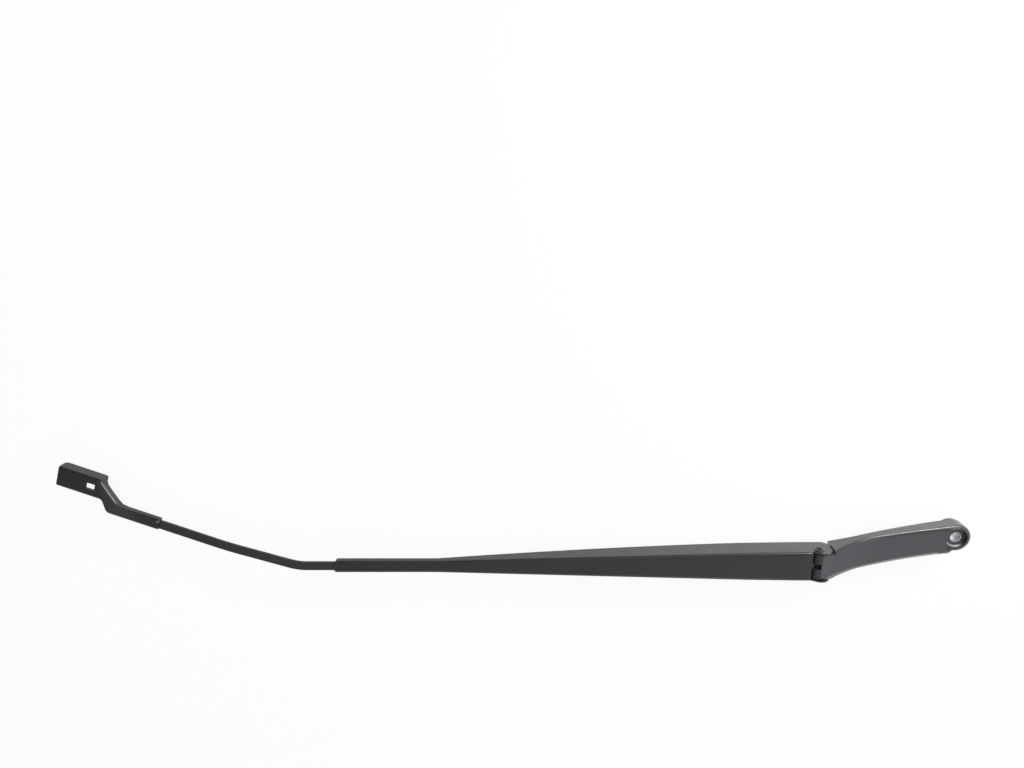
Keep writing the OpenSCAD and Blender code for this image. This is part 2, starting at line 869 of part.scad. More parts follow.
// Foot at the rod's inner end, bent towards the glass, with a hole for the spring's hook
module rod_foot() {
    foot_end_z = foot.y - foot_lip;
    mid_r = foot_bend_r + rod_t / 2;
    bend_x = foot.x + rod_t / 2 - rod_t - foot_bend_r;
    bend_z = rod_top_z - rod_t - foot_bend_r;
    difference() {
        union() {
            translate([bend_x, -pivot_side + rod_w / 2, bend_z])
                rotate([90, 0, 0])
                    rotate_extrude(angle = 90, $fn = 96)
                        translate([mid_r - rod_t / 2, 0])
                            square([rod_t, rod_w]);
            translate([bend_x - rod_t, -pivot_side - rod_w / 2, rod_top_z - rod_t])
                cube([rod_t, rod_w, rod_t]);
            translate([foot.x - rod_t / 2, -pivot_side - rod_w / 2, foot_end_z])
                cube([rod_t, rod_w, bend_z - foot_end_z]);
        }
        translate([foot.x - rod_t, -pivot_side, foot.y + hook_r])
            rotate([0, 90, 0])
                cylinder(r = hook_hole_r, h = 2 * rod_t);
    }
}

// Flat rod, from its foot inside the channel to its end inside the adaptor's sleeve
module wiper_rod() {
    inner_end_x = foot.x - rod_t / 2 - foot_bend_r;
    color("#2f2f32") {
        skin(concat([straight_ring(inner_end_x)], [for (q = rod_path()) outer_ring(q)]));
        rod_foot();
    }
}

// Outline of the adaptor's web, in the frame of its sleeve: the sleeve's mouth is at the origin.
// The crank between sleeve and hood is placed by shares of its run and of the hood's offset
function crank_point(along, across) = [-rod_grip - along * crank_run, sleeve_half + across * hood_offset];
function adaptor_outline() = concat(
    [[over, -sleeve_half], [over, sleeve_half], crank_point(-0.14, 0)],
    [crank_point(0.09, 0.05), crank_point(0.32, 0.3), crank_point(0.57, 0.63)],
    arc([-neck_len - hood_corner_r / 2, hood_high - hood_corner_r], hood_corner_r, 30, 90, 4),
    [[tip_a - over, hood_high], [tip_a - over, hood_low]],
    arc([-neck_len, hood_low - throat_r], throat_r, 90, 34, 3),
    arc([-neck_len + 0.53 * crank_run, elbow_r - sleeve_half], elbow_r, 210, 270, 4)
);

// The adaptor's hollow is open at the hood's tip and at the sleeve's mouth
function adaptor_void() = [for (p = inset(adaptor_outline(), hood_sheet))
    p.x < tip_a - hood_sheet ? [p.x - 2 * hood_sheet, p.y] : p.x > hood_sheet ? [p.x + 2 * hood_sheet, p.y] : p];

// A block under z with the given outline and a rounded top edge, also round inner corners.
// The outline starts at the mouth's lower corner, and its two sides have as many points
module pressed_block(pts, r, z, depth) {
    n = 5;
    half = len(pts) / 2;
    rings = [for (k = [0:n]) inset(pts, r * (1 - sin(90 * k / n)))];
    heights = [for (k = [0:n]) z - r * (1 - cos(90 * k / n))];
    skin([for (i = [0:half - 1])
        let (u = i + 1, l = (2 * half - i) % (2 * half))
        concat(
            [[pts[u].x, pts[u].y, z - depth]],
            [for (k = [n:-1:0]) [rings[k][u].x, rings[k][u].y, heights[k]]],
            [for (k = [0:n]) [rings[k][l].x, rings[k][l].y, heights[k]]],
            [[pts[l].x, pts[l].y, z - depth]]
        )]);
}

// Side view of the adaptor: deep hood, shallow neck and sleeve
module adaptor_side() {
    tip_r = 3;
    polygon(concat(
        [[0, cut], [tip_a, cut], [tip_a, -hood_depth + tip_r]],
        arc([tip_a + tip_r, -hood_depth + tip_r], tip_r, 180, 270, 5),
        [
            [-neck_len + 0.4, -hood_depth],
            [-neck_len + 1.2, -hood_depth + 1.4],
            [-neck_len + 2.4, -sleeve_depth - 1.4],
            [-neck_len + 4.5, -sleeve_depth],
            [0, -sleeve_depth]
        ]
    ));
}

// The two lips of the sleeve, folded under the rod
module sleeve_lips() {
    lip_w = sleeve_half - seam_w / 2;
    for (side = [-1, 1])
        translate([-rod_grip - 2, side * (seam_w + lip_w) / 2 - lip_w / 2, -sleeve_depth])
            cube([rod_grip + 2, lip_w, hood_sheet]);
}

// Stamped adaptor: U-shaped hood with the button's window, cranked neck and crimped sleeve
module blade_adaptor() {
    stake_r = 1.3;
    window_a = tip_a + window_pos;
    color("#2c2c2e")
        past_first_bend()
            past_bend(bend1_r, bend1_angle, rod_mid)
                past_bend(bend2_r, bend2_angle, rod_end)
                    translate([0, 0, hood_sheet + eps]) {
                        difference() {
                            pressed_block(adaptor_outline(), hood_bend_r, 0, hood_depth);
                            pressed_block(adaptor_void(), hood_bend_r - hood_sheet, -hood_sheet, hood_depth);
                            difference() {
                                translate([tip_a - 2 * over, -sleeve_half - 2, -hood_depth - cut])
                                    cube([hood_len + neck_len + 4 * over, hood_high + sleeve_half + 4, hood_depth + 2 * cut]);
                                cross_plate(-sleeve_half - 3, hood_high + 3)
                                    adaptor_side();
                            }
                            translate([window_a - window_len / 2, hood_offset - window_w / 2, -hood_sheet - cut])
                                cube([window_len, window_w, hood_sheet + 2 * cut]);
                            translate([-3.5, 0, -0.5])
                                cylinder(r1 = 0.5, r2 = stake_r + 0.6, h = 0.9);
                        }
                        sleeve_lips();
                    }
}

arm_head();
hinge_bush_upper();
hinge_bush_lower();
hinge_pin();
anchor_pin();
spring_link();
tension_spring();
channel();
wiper_rod();
blade_adaptor();
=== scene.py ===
# %% [markdown]
# # A front wiper arm
# The arm lies on a white sweep and is seen from above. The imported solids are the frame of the
# scene: they give the arm's shapes and places, in metres. This script gives them finishes, makes
# the pieces that solids can't give well, and sets the light and the camera. Small sizes are
# written in millimetres, and MM turns them into metres.

import bmesh
import bpy
import math
from mathutils import Matrix, Vector


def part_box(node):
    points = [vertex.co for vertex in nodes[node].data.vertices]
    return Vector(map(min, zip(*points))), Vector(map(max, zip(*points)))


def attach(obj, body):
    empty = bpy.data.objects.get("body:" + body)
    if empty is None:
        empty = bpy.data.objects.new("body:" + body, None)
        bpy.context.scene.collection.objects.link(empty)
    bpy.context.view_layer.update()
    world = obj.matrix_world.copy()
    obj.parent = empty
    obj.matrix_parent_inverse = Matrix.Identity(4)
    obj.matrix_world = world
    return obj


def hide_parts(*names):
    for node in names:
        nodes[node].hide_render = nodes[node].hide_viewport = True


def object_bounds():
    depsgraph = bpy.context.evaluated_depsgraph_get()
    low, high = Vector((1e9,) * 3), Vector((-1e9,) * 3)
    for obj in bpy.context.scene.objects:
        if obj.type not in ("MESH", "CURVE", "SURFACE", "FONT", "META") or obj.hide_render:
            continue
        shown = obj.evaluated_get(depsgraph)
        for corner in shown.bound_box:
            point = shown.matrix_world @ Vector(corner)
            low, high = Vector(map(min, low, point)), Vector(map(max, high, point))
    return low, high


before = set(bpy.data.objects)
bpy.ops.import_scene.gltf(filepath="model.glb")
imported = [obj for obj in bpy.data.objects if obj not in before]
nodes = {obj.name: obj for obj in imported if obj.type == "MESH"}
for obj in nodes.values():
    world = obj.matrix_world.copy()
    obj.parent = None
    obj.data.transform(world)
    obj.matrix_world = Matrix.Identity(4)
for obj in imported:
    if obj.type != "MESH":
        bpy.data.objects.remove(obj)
cad_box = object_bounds()
MM = 0.001
print("nodes:", ", ".join(sorted(nodes)))

# %% [markdown]
# ## Camera
# The picture was taken from above the arm, leaning a little, so that the wall of the channel that
# faces the top of the picture still shows. A lens of 27 mm on a 36 mm sensor gives the same
# spread of sizes from the near end to the far end. The shift is less than half a pixel and shares
# out what the solids are too high or too low.

# %% Camera
CAMERA_PLACE = (-0.38608, 0.32320, 0.61580)
CAMERA_LEAN = math.radians(-17)
PICTURE_WIDTH = 1024
camera_data = bpy.data.cameras.new("camera")
camera_data.lens = 27.07
camera_data.sensor_width = 36.0
camera_data.shift_y = 0.4 / PICTURE_WIDTH
camera = bpy.data.objects.new("camera", camera_data)
camera.location = CAMERA_PLACE
camera.rotation_euler = (CAMERA_LEAN, 0, 0)
bpy.context.scene.collection.objects.link(camera)
bpy.context.scene.camera = camera
bpy.context.scene.view_settings.view_transform = "Standard"
print("camera at", CAMERA_PLACE)

# %% [markdown]
# ## Shader maths as plain expressions
# A painted finish is a handful of small patterns that are added, scaled and limited. Joining Math
# nodes by hand hides that sum, so a small class wraps a socket: adding or multiplying two wrapped
# sockets adds the Math node, and the finish reads as a formula. Three more methods turn a distance
# into a mask: above a limit, below it, or inside a span.


# %% A socket that can be added and multiplied
class Wave:
    """One value that changes over a surface."""

    def __init__(self, patch, socket):
        self.patch = patch
        self.socket = socket

    def __add__(self, other):
        return self.patch.maths("ADD", self, other)

    def __sub__(self, other):
        return self.patch.maths("SUBTRACT", self, other)

    def __rsub__(self, other):
        return self.patch.maths("SUBTRACT", other, self)

    def __mul__(self, other):
        return self.patch.maths("MULTIPLY", self, other)

    def __pow__(self, other):
        return self.patch.maths("POWER", self, other)

    def __abs__(self):
        return self.patch.maths("ABSOLUTE", self)

    __radd__ = __add__
    __rmul__ = __mul__

    def larger(self, other):
        return self.patch.maths("MAXIMUM", self, other)

    def between(self, low, high):
        """0 below low, 1 above high, and smooth in between."""
        settings = {"interpolation_type": "SMOOTHSTEP"}
        return self.patch.node("MapRange", settings, self, low, high)

    def below(self, low, high):
        return 1 - self.between(low, high)

    def span(self, start, full, fade, end):
        """0 up to start, 1 from full to fade, and 0 again past end."""
        return self.between(start, full) * self.below(fade, end)


print("sockets can be added and multiplied")

# %% [markdown]
# ## A patch of nodes
# The expressions need somewhere to put their nodes. A patch holds the nodes of one material or of
# the sky, and its node method adds any node in one line: the type, the settings, and then what
# goes into each socket, which is a value or a link.


# %% A patch of nodes
class Patch:
    """The nodes of one material or of the sky, added one call at a time."""

    def __init__(self, owner):
        owner.use_nodes = True
        self.tree = owner.node_tree

    def node(self, kind, settings, *values, output=0, **named):
        made = self.tree.nodes.new("ShaderNode" + kind)
        for key, value in settings.items():
            setattr(made, key, value)
        for i, value in enumerate(values):
            self.feed(made.inputs[i], value)
        for key, value in named.items():
            self.feed(made.inputs[key.replace("_", " ")], value)
        return Wave(self, made.outputs[output])

    def feed(self, socket, value):
        if isinstance(value, Wave):
            self.tree.links.new(value.socket, socket)
        elif value is not None:
            socket.default_value = value

    def maths(self, operation, *values):
        return self.node("Math", {"operation": operation}, *values)

    def axes(self, vector, names):
        return [self.node("SeparateXYZ", {}, vector, output=name) for name in names]

    def ray(self, kind):
        return self.node("LightPath", {}, output="Is %s Ray" % kind)


print("expressions ready")

# %% [markdown]
# ## A finish
# Every finish of the arm is one surface shader, and every pattern lies on Object coordinates, so
# it stays on the piece when the arm is raised. The class below keeps that start in one place,
# with the few nodes that the finishes share: noise, a blend of two colours and a relief.


# %% A finish
class Finish(Patch):
    """A material with one surface shader, whose patterns lie on the piece itself."""

    def __init__(self, name):
        self.material = bpy.data.materials.new(name)
        super().__init__(self.material)
        self.shader = self.tree.nodes["Principled BSDF"]
        self.place = self.node("TexCoord", {}, output="Object")

    def along(self, names):
        """The distances along the named axes, in millimetres."""
        return [metres * (1 / MM) for metres in self.axes(self.place, names)]

    def noise(self, per_metre, detail=2.0, roughness=0.5, place=None):
        spread = {"Vector": place or self.place, "Scale": per_metre}
        return self.node("TexNoise", {}, Detail=detail, Roughness=roughness, **spread)

    def blend(self, mask, a, b):
        """A colour that is a where the mask is 0 and b where it is 1."""
        number_sockets = [None] * 5
        colours = [value if isinstance(value, Wave) else (*value, 1) for value in (a, b)]
        settings = {"data_type": "RGBA"}
        return self.node("Mix", settings, mask, *number_sockets, *colours, output=2)

    def surface(self, **named):
        for key, value in named.items():
            if isinstance(value, tuple):
                value = (*value, 1)
            self.feed(self.shader.inputs[key.replace("_", " ")], value)
        return self.material

    def relief(self, height, depth):
        return self.node("Bump", {}, Strength=1.0, Distance=depth, Height=height)


def darker(colour, share):
    return tuple(c * (1 - share) for c in colour)


print("finish tools ready")

# %% [markdown]
# ## The arm's own shapes, smoothed
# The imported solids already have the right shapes, but their meshes are loose flat triangles, and
# their edges are as sharp as a drawing. Pressed and cast metal has no edge like that: a press
# leaves a small radius, and a coat of paint rounds it further. That thin rounded line is what
# catches the light. So each metal part is copied, its triangles are joined, flat neighbours are
# dissolved into one face, and a Bevel modifier rounds the edges that are left. Weighted normals
# keep the large flat faces flat beside the small round ones. The channel's crimp is drawn out by
# a few millimetres on the way, because the photograph shows it that much longer than the solid.

# %% Joined copies with rounded edges
WELD = 0.002 * MM
CREASE = math.radians(32)
FLAT = math.radians(0.6)
CRIMP_END = 4
CRIMP_LONGER = 4


def placed(name, shape, *replaced, body, slot):
    """Turns a bmesh into a piece that rides on a body and stands for CAD nodes."""
    mesh = bpy.data.meshes.new(name)
    shape.to_mesh(mesh)
    shape.free()
    piece = bpy.data.objects.new(name, mesh)
    bpy.context.scene.collection.objects.link(piece)
    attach(piece, body)
    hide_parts(*replaced)
    return piece


def smooth(shape, crease):
    for face in shape.faces:
        face.smooth = True
    for edge in shape.edges:
        edge.smooth = edge.calc_face_angle(0) < crease


def rounded_copy(node, body, slot, edge_mm, segments=2, longer_mm=0):
    """A CAD node's mesh with its edges rounded, and its blade end drawn out if that is asked."""
    shape = bmesh.new()
    shape.from_mesh(nodes[node].data)
    bmesh.ops.remove_doubles(shape, verts=shape.verts, dist=WELD)
    if longer_mm:
        end = min(corner.co.x for corner in shape.verts) + CRIMP_END * MM
        tail = [corner for corner in shape.verts if corner.co.x < end]
        bmesh.ops.translate(shape, verts=tail, vec=(-longer_mm * MM, 0, 0))
    bmesh.ops.dissolve_limit(shape, angle_limit=FLAT, verts=shape.verts, edges=shape.edges)
    smooth(shape, CREASE)
    piece = placed(node + "_shell", shape, node, body=body, slot=slot)
    bevel = piece.modifiers.new("worn edge", "BEVEL")
    bevel.width = edge_mm * MM
    bevel.segments = segments
    bevel.limit_method = "ANGLE"
    bevel.angle_limit = CREASE
    bevel.miter_outer = "MITER_ARC"
    normals = piece.modifiers.new("flat stays flat", "WEIGHTED_NORMAL")
    normals.mode = "FACE_AREA"
    normals.keep_sharp = False
    return piece


SHELLS = {
    "arm_head": rounded_copy("arm_head", "head", "cast_paint", 0.5, segments=3),
    "channel": rounded_copy("channel", "arm", "channel_paint", 0.18, longer_mm=CRIMP_LONGER),
    "wiper_rod": rounded_copy("wiper_rod", "arm", "rod_paint", 0.12),
    "blade_adaptor": rounded_copy("blade_adaptor", "arm", "adaptor_paint", 0.14),
    "spring_link": rounded_copy("spring_link", "link", "link_steel", 0.2),
    "anchor_pin": rounded_copy("anchor_pin", "head", "pin_steel", 0.1),
}
for piece in SHELLS.values():
    print(piece.name, len(piece.data.polygons), "faces")

# %% [markdown]
# ## The rivet at the hinge
# The hinge pin is a rivet. Its two heads are spun over in a press, which leaves a rounded rim and
# a deep dish in the middle, and the dish is the dark spot that shows from above. A turned shape
# like this is one line of points, spun once round the pin's axis. The radii are in millimetres,
# and the length and the place come from the frame.

# %% Rivet
pin_low, pin_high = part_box("hinge_pin")
HINGE = (pin_low + pin_high) / 2
RIVET_HALF = (pin_high.y - pin_low.y) / 2 / MM
RIVET_R = 4.0
SHANK_R, DISH_R = 2.5, 2.6
HEAD_THICK, DISH_DEEP = 0.9, 1.4
RIVET_STEPS = 40
RIVET_CREASE = math.radians(50)


def rivet_side():
    """From the shank over the rim into the dish: radius and height, in millimetres."""
    top = RIVET_HALF
    under = [(SHANK_R, top - HEAD_THICK), (RIVET_R, top - HEAD_THICK + 0.02)]
    rim = [(RIVET_R, top - 0.4), (RIVET_R - 0.15, top - 0.12), (RIVET_R - 0.5, top)]
    dish = [(DISH_R + 0.35, top - 0.05), (DISH_R, top - 0.5), (DISH_R - 0.4, top - 1.1)]
    return under + rim + dish + [(0, top - DISH_DEEP)]


def rivet():
    side = rivet_side()
    profile = [(r, -y) for r, y in reversed(side)] + side
    shape = bmesh.new()
    line = [shape.verts.new((r * MM, y * MM, 0)) for r, y in profile]
    edges = [shape.edges.new(pair) for pair in zip(line, line[1:])]
    turn = {"angle": math.tau, "steps": RIVET_STEPS, "use_merge": True}
    bmesh.ops.spin(shape, geom=line + edges, axis=(0, 1, 0), cent=(0, 0, 0), **turn)
    bmesh.ops.remove_doubles(shape, verts=shape.verts, dist=WELD)
    bmesh.ops.recalc_face_normals(shape, faces=shape.faces)
    bmesh.ops.translate(shape, verts=shape.verts, vec=HINGE)
    smooth(shape, RIVET_CREASE)
    return placed("rivet", shape, "hinge_pin", body="arm", slot="pin_paint")


SHELLS["hinge_pin"] = rivet()
print("rivet", len(SHELLS["hinge_pin"].data.polygons), "faces")
print("hinge at", [round(place / MM, 2) for place in HINGE])

# %% [markdown]
# ## The spring
# The spring is one round wire: a hook in the hole of the rod's foot, a close coil, and a loop in
# the link. A mesh could be spun turn by turn, but the two bends out of the coil would need a ring
# set up for each. A curve follows the wire's own path and gives it a round section all along, so
# the path is all that has to be written. It is turned into a mesh at the end, like every other
# piece. Distances are millimetres along the line of pull, and only the hook's place in the frame
# is in metres.

# %% The wire's path
HOOK_AT = Vector((-0.250, -0.0278, 0.006))
PULL_TURN = math.radians(0.2596)
WIRE_R = 0.9
HOOK_R = 2.2
COIL_R = 3.9
LOOP_R = 3.4
HOOK_X = -2.0
HOOK_TAIL, HOOK_LEAD = 4.0, 6.0
COIL_FROM, COIL_TO = 11.0, 76.243
LOOP_X = 86.643
TURNS = 25.25
STEPS = 16
BEND = [math.radians(30 * i) for i in range(7)]


def hook_points():
    tail = [(HOOK_X + HOOK_TAIL, 0, -HOOK_R)]
    bend = [(HOOK_X - HOOK_R * math.sin(a), 0, -HOOK_R * math.cos(a)) for a in BEND]
    return tail + bend + [(HOOK_X + HOOK_LEAD, 0, HOOK_R), (COIL_FROM - 2.5, 0, HOOK_R + 0.6)]


def coil_points():
    count = int(TURNS * STEPS)
    points = []
    for i in range(count + 1):
        a = math.radians(90 - 360 * i / STEPS)
        x = COIL_FROM + (COIL_TO - COIL_FROM) * i / count
        points.append((x, COIL_R * math.cos(a), COIL_R * math.sin(a)))
    return points


def loop_points():
    lead = [(COIL_TO + 1.6, COIL_R - 0.1, -0.4 * COIL_R), (COIL_TO + 3.2, LOOP_R + 0.1, 0)]
    centre = LOOP_X - LOOP_R
    bend = [(centre + LOOP_R * math.sin(a), LOOP_R * math.cos(a), 0) for a in BEND]
    return lead + bend + [(centre - LOOP_R, -LOOP_R, 0)]


print("wire of", TURNS, "turns")


# %% Spring wire
def spring_wire():
    line = bpy.data.curves.new("spring_wire", "CURVE")
    line.dimensions = "3D"
    line.bevel_depth = WIRE_R * MM
    line.bevel_resolution = 3
    line.resolution_u = 2
    line.use_fill_caps = True
    spline = line.splines.new("BEZIER")
    points = hook_points() + coil_points() + loop_points()
    spline.bezier_points.add(len(points) - 1)
    place = Matrix.Translation(HOOK_AT) @ Matrix.Rotation(PULL_TURN, 4, "Y")
    for knot, point in zip(spline.bezier_points, points):
        knot.co = place @ (Vector(point) * MM)
        knot.handle_left_type = knot.handle_right_type = "AUTO"
    tube = bpy.data.objects.new("wire path", line)
    shape = bmesh.new()
    shape.from_mesh(bpy.data.meshes.new_from_object(tube))
    bpy.data.objects.remove(tube)
    for face in shape.faces:
        face.smooth = True
    return placed("spring_wire", shape, "tension_spring", body="spring", slot="spring_steel")


SHELLS["tension_spring"] = spring_wire()
print("spring", len(SHELLS["tension_spring"].data.polygons), "faces")

# %% [markdown]
# ## Black paint on metal
# Every outer part has a thin satin coat, and no two coats are alike. The cast head is greyer and a
# little rougher, since its skin shows through, and the pressed parts are close to black. Paint
# pulls into a fine orange-peel skin, the metal's own grain shows under it as faint mottling, and
# dust settles on it as small pale specks. The mottling varies the roughness as well as the
# colour, because the eye reads a dark coat by its shine.

# %% Satin coats
MOTTLE = 0.25
DUST = 0.5
DUST_GREY = (0.25, 0.25, 0.26)


def satin_coat(name, colour, rough, peel_mm):
    coat = Finish(name)
    fine = coat.noise(900, 3.0, 0.55)
    broad = coat.noise(38, 3.0, 0.6)
    grain = coat.noise(2600, 2.0, 0.6)
    speck = coat.node("TexVoronoi", {}, Vector=coat.place, Scale=420.0)
    lone = coat.noise(160, 1.0, 0.5).between(0.6, 0.68)
    dust = speck.below(0.05, 0.13) * lone * DUST
    mottled = (broad - 0.5) * MOTTLE + 0.5
    tone = coat.blend(mottled, darker(colour, MOTTLE), darker(colour, -MOTTLE))
    coat.colour = coat.blend(dust, tone, DUST_GREY)
    coat.rough = (fine - 0.5) * 0.12 + (broad - 0.5) * 0.14 + dust * 0.3 + rough
    skin = coat.relief(fine * 0.7 + grain * 0.3, peel_mm * MM)
    coat.surface(Base_Color=coat.colour, Roughness=coat.rough, Normal=skin, IOR=1.5)
    return coat


FINISH = {
    "channel": satin_coat("channel_coat", (0.0160, 0.0142, 0.0185), 0.36, 0.012).material,
    "wiper_rod": satin_coat("rod_coat", (0.0225, 0.0220, 0.0220), 0.36, 0.010).material,
}
print("coats:", ", ".join(FINISH))

# %% [markdown]
# ## The rivet's coat
# The dish of a rivet's head is painted darker, as painted shade in the recess, and its paint is
# made duller there, and the spun rim around it is polished by the press. Both are rings round the
# pin's axis, so one distance from that axis is enough to mask them, and no picture has to be
# painted.


# %% Rivet coat
def pin_coat():
    coat = satin_coat("pin_coat", (0.016, 0.015, 0.017), 0.44, 0.014)
    x, z = coat.along("XZ")
    x, z = x - HINGE.x / MM, z - HINGE.z / MM
    reach = (x * x + z * z) ** 0.5
    dish = reach.below(DISH_R - 0.5, DISH_R)
    rim = reach.span(DISH_R, DISH_R + 0.3, RIVET_R - 0.3, RIVET_R - 0.05)
    # Painted shade: the dish is darker where the rivet's recess lies in shade.
    shade = coat.blend(dish, coat.colour, (0.004, 0.004, 0.005))
    coat.surface(Base_Color=shade, Roughness=coat.rough + dish * 0.3 - rim * 0.16)
    return coat.material


FINISH["hinge_pin"] = pin_coat()
print("rivet coat, dish of radius", DISH_R)

# %% [markdown]
# ## The head's bare metal
# The taper that grips the spindle is cut after painting and is bare metal with fine teeth. A thin
# bright arc of bare metal on the lower side of the nut's seat is nut wear kept to the side that
# catches the light, so it is partly a painted highlight, and the rubbed metal is painted lighter
# on that side as well. The bore could be a piece of its own, but it is one surface with the head,
# so masks on the head's own coat show where the paint is missing. The masks are made from the
# distance to the spindle's axis, which is the frame's origin, and from the height.

# %% Bare metal on the head
BORE_EDGE = (6.1, 6.3)
BARE_BELOW = (12.4, 12.6)
RIM_EDGE = (4.5, 4.7)
SEAT_EDGE = (13.2, 13.3)
NUT_RUB = (7.5, 7.9, 8.9, 9.2)
NUT_RUB_HEIGHT = (13.0, 13.3, 15.2, 15.4)
TEETH = 60


def bare_metal(coat, x, y, z):
    """Where the metal shows, its colour, its roughness, and the height of the teeth."""
    reach = (x * x + y * y) ** 0.5
    # Painted highlight: the two masks below keep the rubbed arc and its lighter tone to the side
    # that catches the light.
    glint_side = (0 - y - x * 0.12).between(5.0, 7.2)
    glare = (0 - y - x * 0.6).between(1.5, 4.5)
    rubbed = coat.noise(700, 3.0, 0.6).between(0.42, 0.58)
    bore = reach.below(*BORE_EDGE) * z.below(*BARE_BELOW)
    rim = reach.below(*RIM_EDGE) * z.between(*SEAT_EDGE)
    arc = reach.span(*NUT_RUB) * z.span(*NUT_RUB_HEIGHT) * glint_side
    dull = coat.blend(rubbed, (0.11, 0.11, 0.115), (0.33, 0.33, 0.35))
    cut = coat.blend(glare * 0.7, dull, (0.85, 0.85, 0.87))
    mask = bore.larger(rim).larger(arc * (rubbed * 0.4 + 0.35))
    teeth = bore * coat.maths("SINE", coat.maths("ARCTAN2", y, x) * TEETH)
    return mask, coat.blend(bore, (0.80, 0.80, 0.82), cut), rubbed * 0.12 + 0.26, teeth


print("bare bore with", TEETH, "teeth")

# %% [markdown]
# ## Painted highlights on the head's edges
# The long raised edge and the rounded lower edge catch the light as thin bright lines, so both are
# painted lighter there as painted highlights, and the raised edge is also made a little smoother.
# The raised edge is found by the way its surface faces: it is neither wall nor top. The lower edge
# is a smooth curve in plan. It is taken from the head's own corners at five stations, joined by
# the polynomial through them (Newton's form), so that the line stays on the edge if the head
# changes.

# %% Painted highlights on the head's edges
RAISED_X = (-88, -70, -4, 2)
LOWER_X = (-114, -106, -16, -12)
LOWER_BAND = (2.6, 3.9)
STATIONS = (-98, -77, -56, -35, -14)
STATION_REACH = 2.5
STATION_ABOVE = 10


def edge_points():
    """The corner with the least Y near each station, as X and Y in millimetres."""
    corners = [corner.co / MM for corner in nodes["arm_head"].data.vertices]
    high = [corner for corner in corners if corner.z > STATION_ABOVE]
    points = []
    for station in STATIONS:
        near = [corner for corner in high if abs(corner.x - station) < STATION_REACH]
        lowest = min(near, key=lambda corner: corner.y)
        points.append((lowest.x, lowest.y))
    return points


def lower_outline(x):
    points = edge_points()
    slopes = [y for _, y in points]
    for gap in range(1, len(points)):
        for i in reversed(range(gap, len(points))):
            slopes[i] = (slopes[i] - slopes[i - 1]) / (points[i][0] - points[i - gap][0])
    outline = slopes[-1]
    for (station, _), slope in reversed(list(zip(points, slopes))[:-1]):
        outline = (x - station) * outline + slope
    return outline


def painted_edge_highlights(coat, x, y, z):
    normal = coat.node("TexCoord", {}, output="Normal")
    side, up = coat.axes(normal, "YZ")
    facing = up.span(0.4, 0.55, 0.95, 0.99) * side.between(0.12, 0.3)
    # Both masks are painted lighter: painted highlights on the raised edge and the lower edge.
    raised_highlight = facing * z.between(14.6, 15.2) * x.span(*RAISED_X)
    lower_highlight = (y - lower_outline(x)).below(*LOWER_BAND) * x.span(*LOWER_X) * up.between(0.05, 0.3)
    return raised_highlight, lower_highlight


print("lower edge through", [(round(x, 1), round(y, 1)) for x, y in edge_points()])

# %% [markdown]
# ## The head's coat
# The head is painted lighter towards the hinge, a painted reflection of its curved face, and the
# round barrel of its knuckle, which turns into the gap under the channel, is painted nearly black
# as painted shade. The painted edge highlights go on top, and the bare metal comes last.

# %% Head coat
HINGE_SHEEN_X = (-112, -55)
BARREL_SHADE_PAST_HINGE = (1.9, 2.9)
KNUCKLE_HALF = (13.0, 13.2)


def head_coat():
    coat = satin_coat("head_coat", (0.0470, 0.0449, 0.0516), 0.38, 0.022)
    x, y, z = coat.along("XYZ")
    raised_highlight, lower_highlight = painted_edge_highlights(coat, x, y, z)
    bare, metal, metal_rough, teeth = bare_metal(coat, x, y, z)
    from_hinge, off_middle = x - HINGE.x / MM, abs(y - HINGE.y / MM)
    # Painted shade: the knuckle's barrel is nearly black where it turns into the gap under the
    # channel.
    barrel_shade = from_hinge.below(*BARREL_SHADE_PAST_HINGE) * off_middle.below(*KNUCKLE_HALF)
    # Painted reflection: the coat is lighter towards the hinge, where the curved face catches more
    # light.
    painted = coat.blend(x.below(*HINGE_SHEEN_X) * 0.5, coat.colour, (0.088, 0.085, 0.094))
    painted = coat.blend(barrel_shade, painted, (0.020, 0.018, 0.022))
    # Painted highlights: the lower and the raised edge are painted lighter.
    painted = coat.blend(lower_highlight * 0.9, painted, (0.19, 0.19, 0.195))
    painted = coat.blend(raised_highlight * 0.75, painted, (0.30, 0.30, 0.31))
    worn = coat.rough - raised_highlight * 0.14
    coat.surface(
        Base_Color=coat.blend(bare, painted, metal),
        Metallic=bare,
        Roughness=worn * (1 - bare) + bare * metal_rough,
        Normal=coat.relief(coat.noise(900, 3.0, 0.55) + teeth * 2, 0.022 * MM),
    )
    return coat.material


FINISH["arm_head"] = head_coat()
print("head coat with worn edges and bare bore")

# %% [markdown]
# ## The adaptor's coat
# The adaptor is stamped, painted and then crimped on the rod. The sleeve has a small lighter spot
# where the stake holds the rod. The cranked neck is painted lighter where its slant catches the
# light, and a light line along its fold is a painted highlight. A line between two points is
# masked
# by two distances: along the line and away from it.

# %% Adaptor coat
STAKE_X, STAKE_Y = -695.4, 11.5
NECK_LIGHT_X = (-748, -736, -724, -706)
FOLD_FROM = Vector((-741.4, 47.4))
FOLD_TO = Vector((-730.75, 27.0))
FOLD_HALF = (0.2, 0.65)
ROOF_Z = (2, 3)


def fold_highlight(x, y, z):
    """1 on the neck's fold and 0 away from it."""
    fold = FOLD_TO - FOLD_FROM
    way = fold.normalized()
    right, up = x - FOLD_FROM.x, y - FOLD_FROM.y
    down, off = right * way.x + up * way.y, up * way.x - right * way.y
    inside = down.span(-1, 1, fold.length - 2, fold.length + 1)
    return abs(off).below(*FOLD_HALF) * inside * z.between(*ROOF_Z)


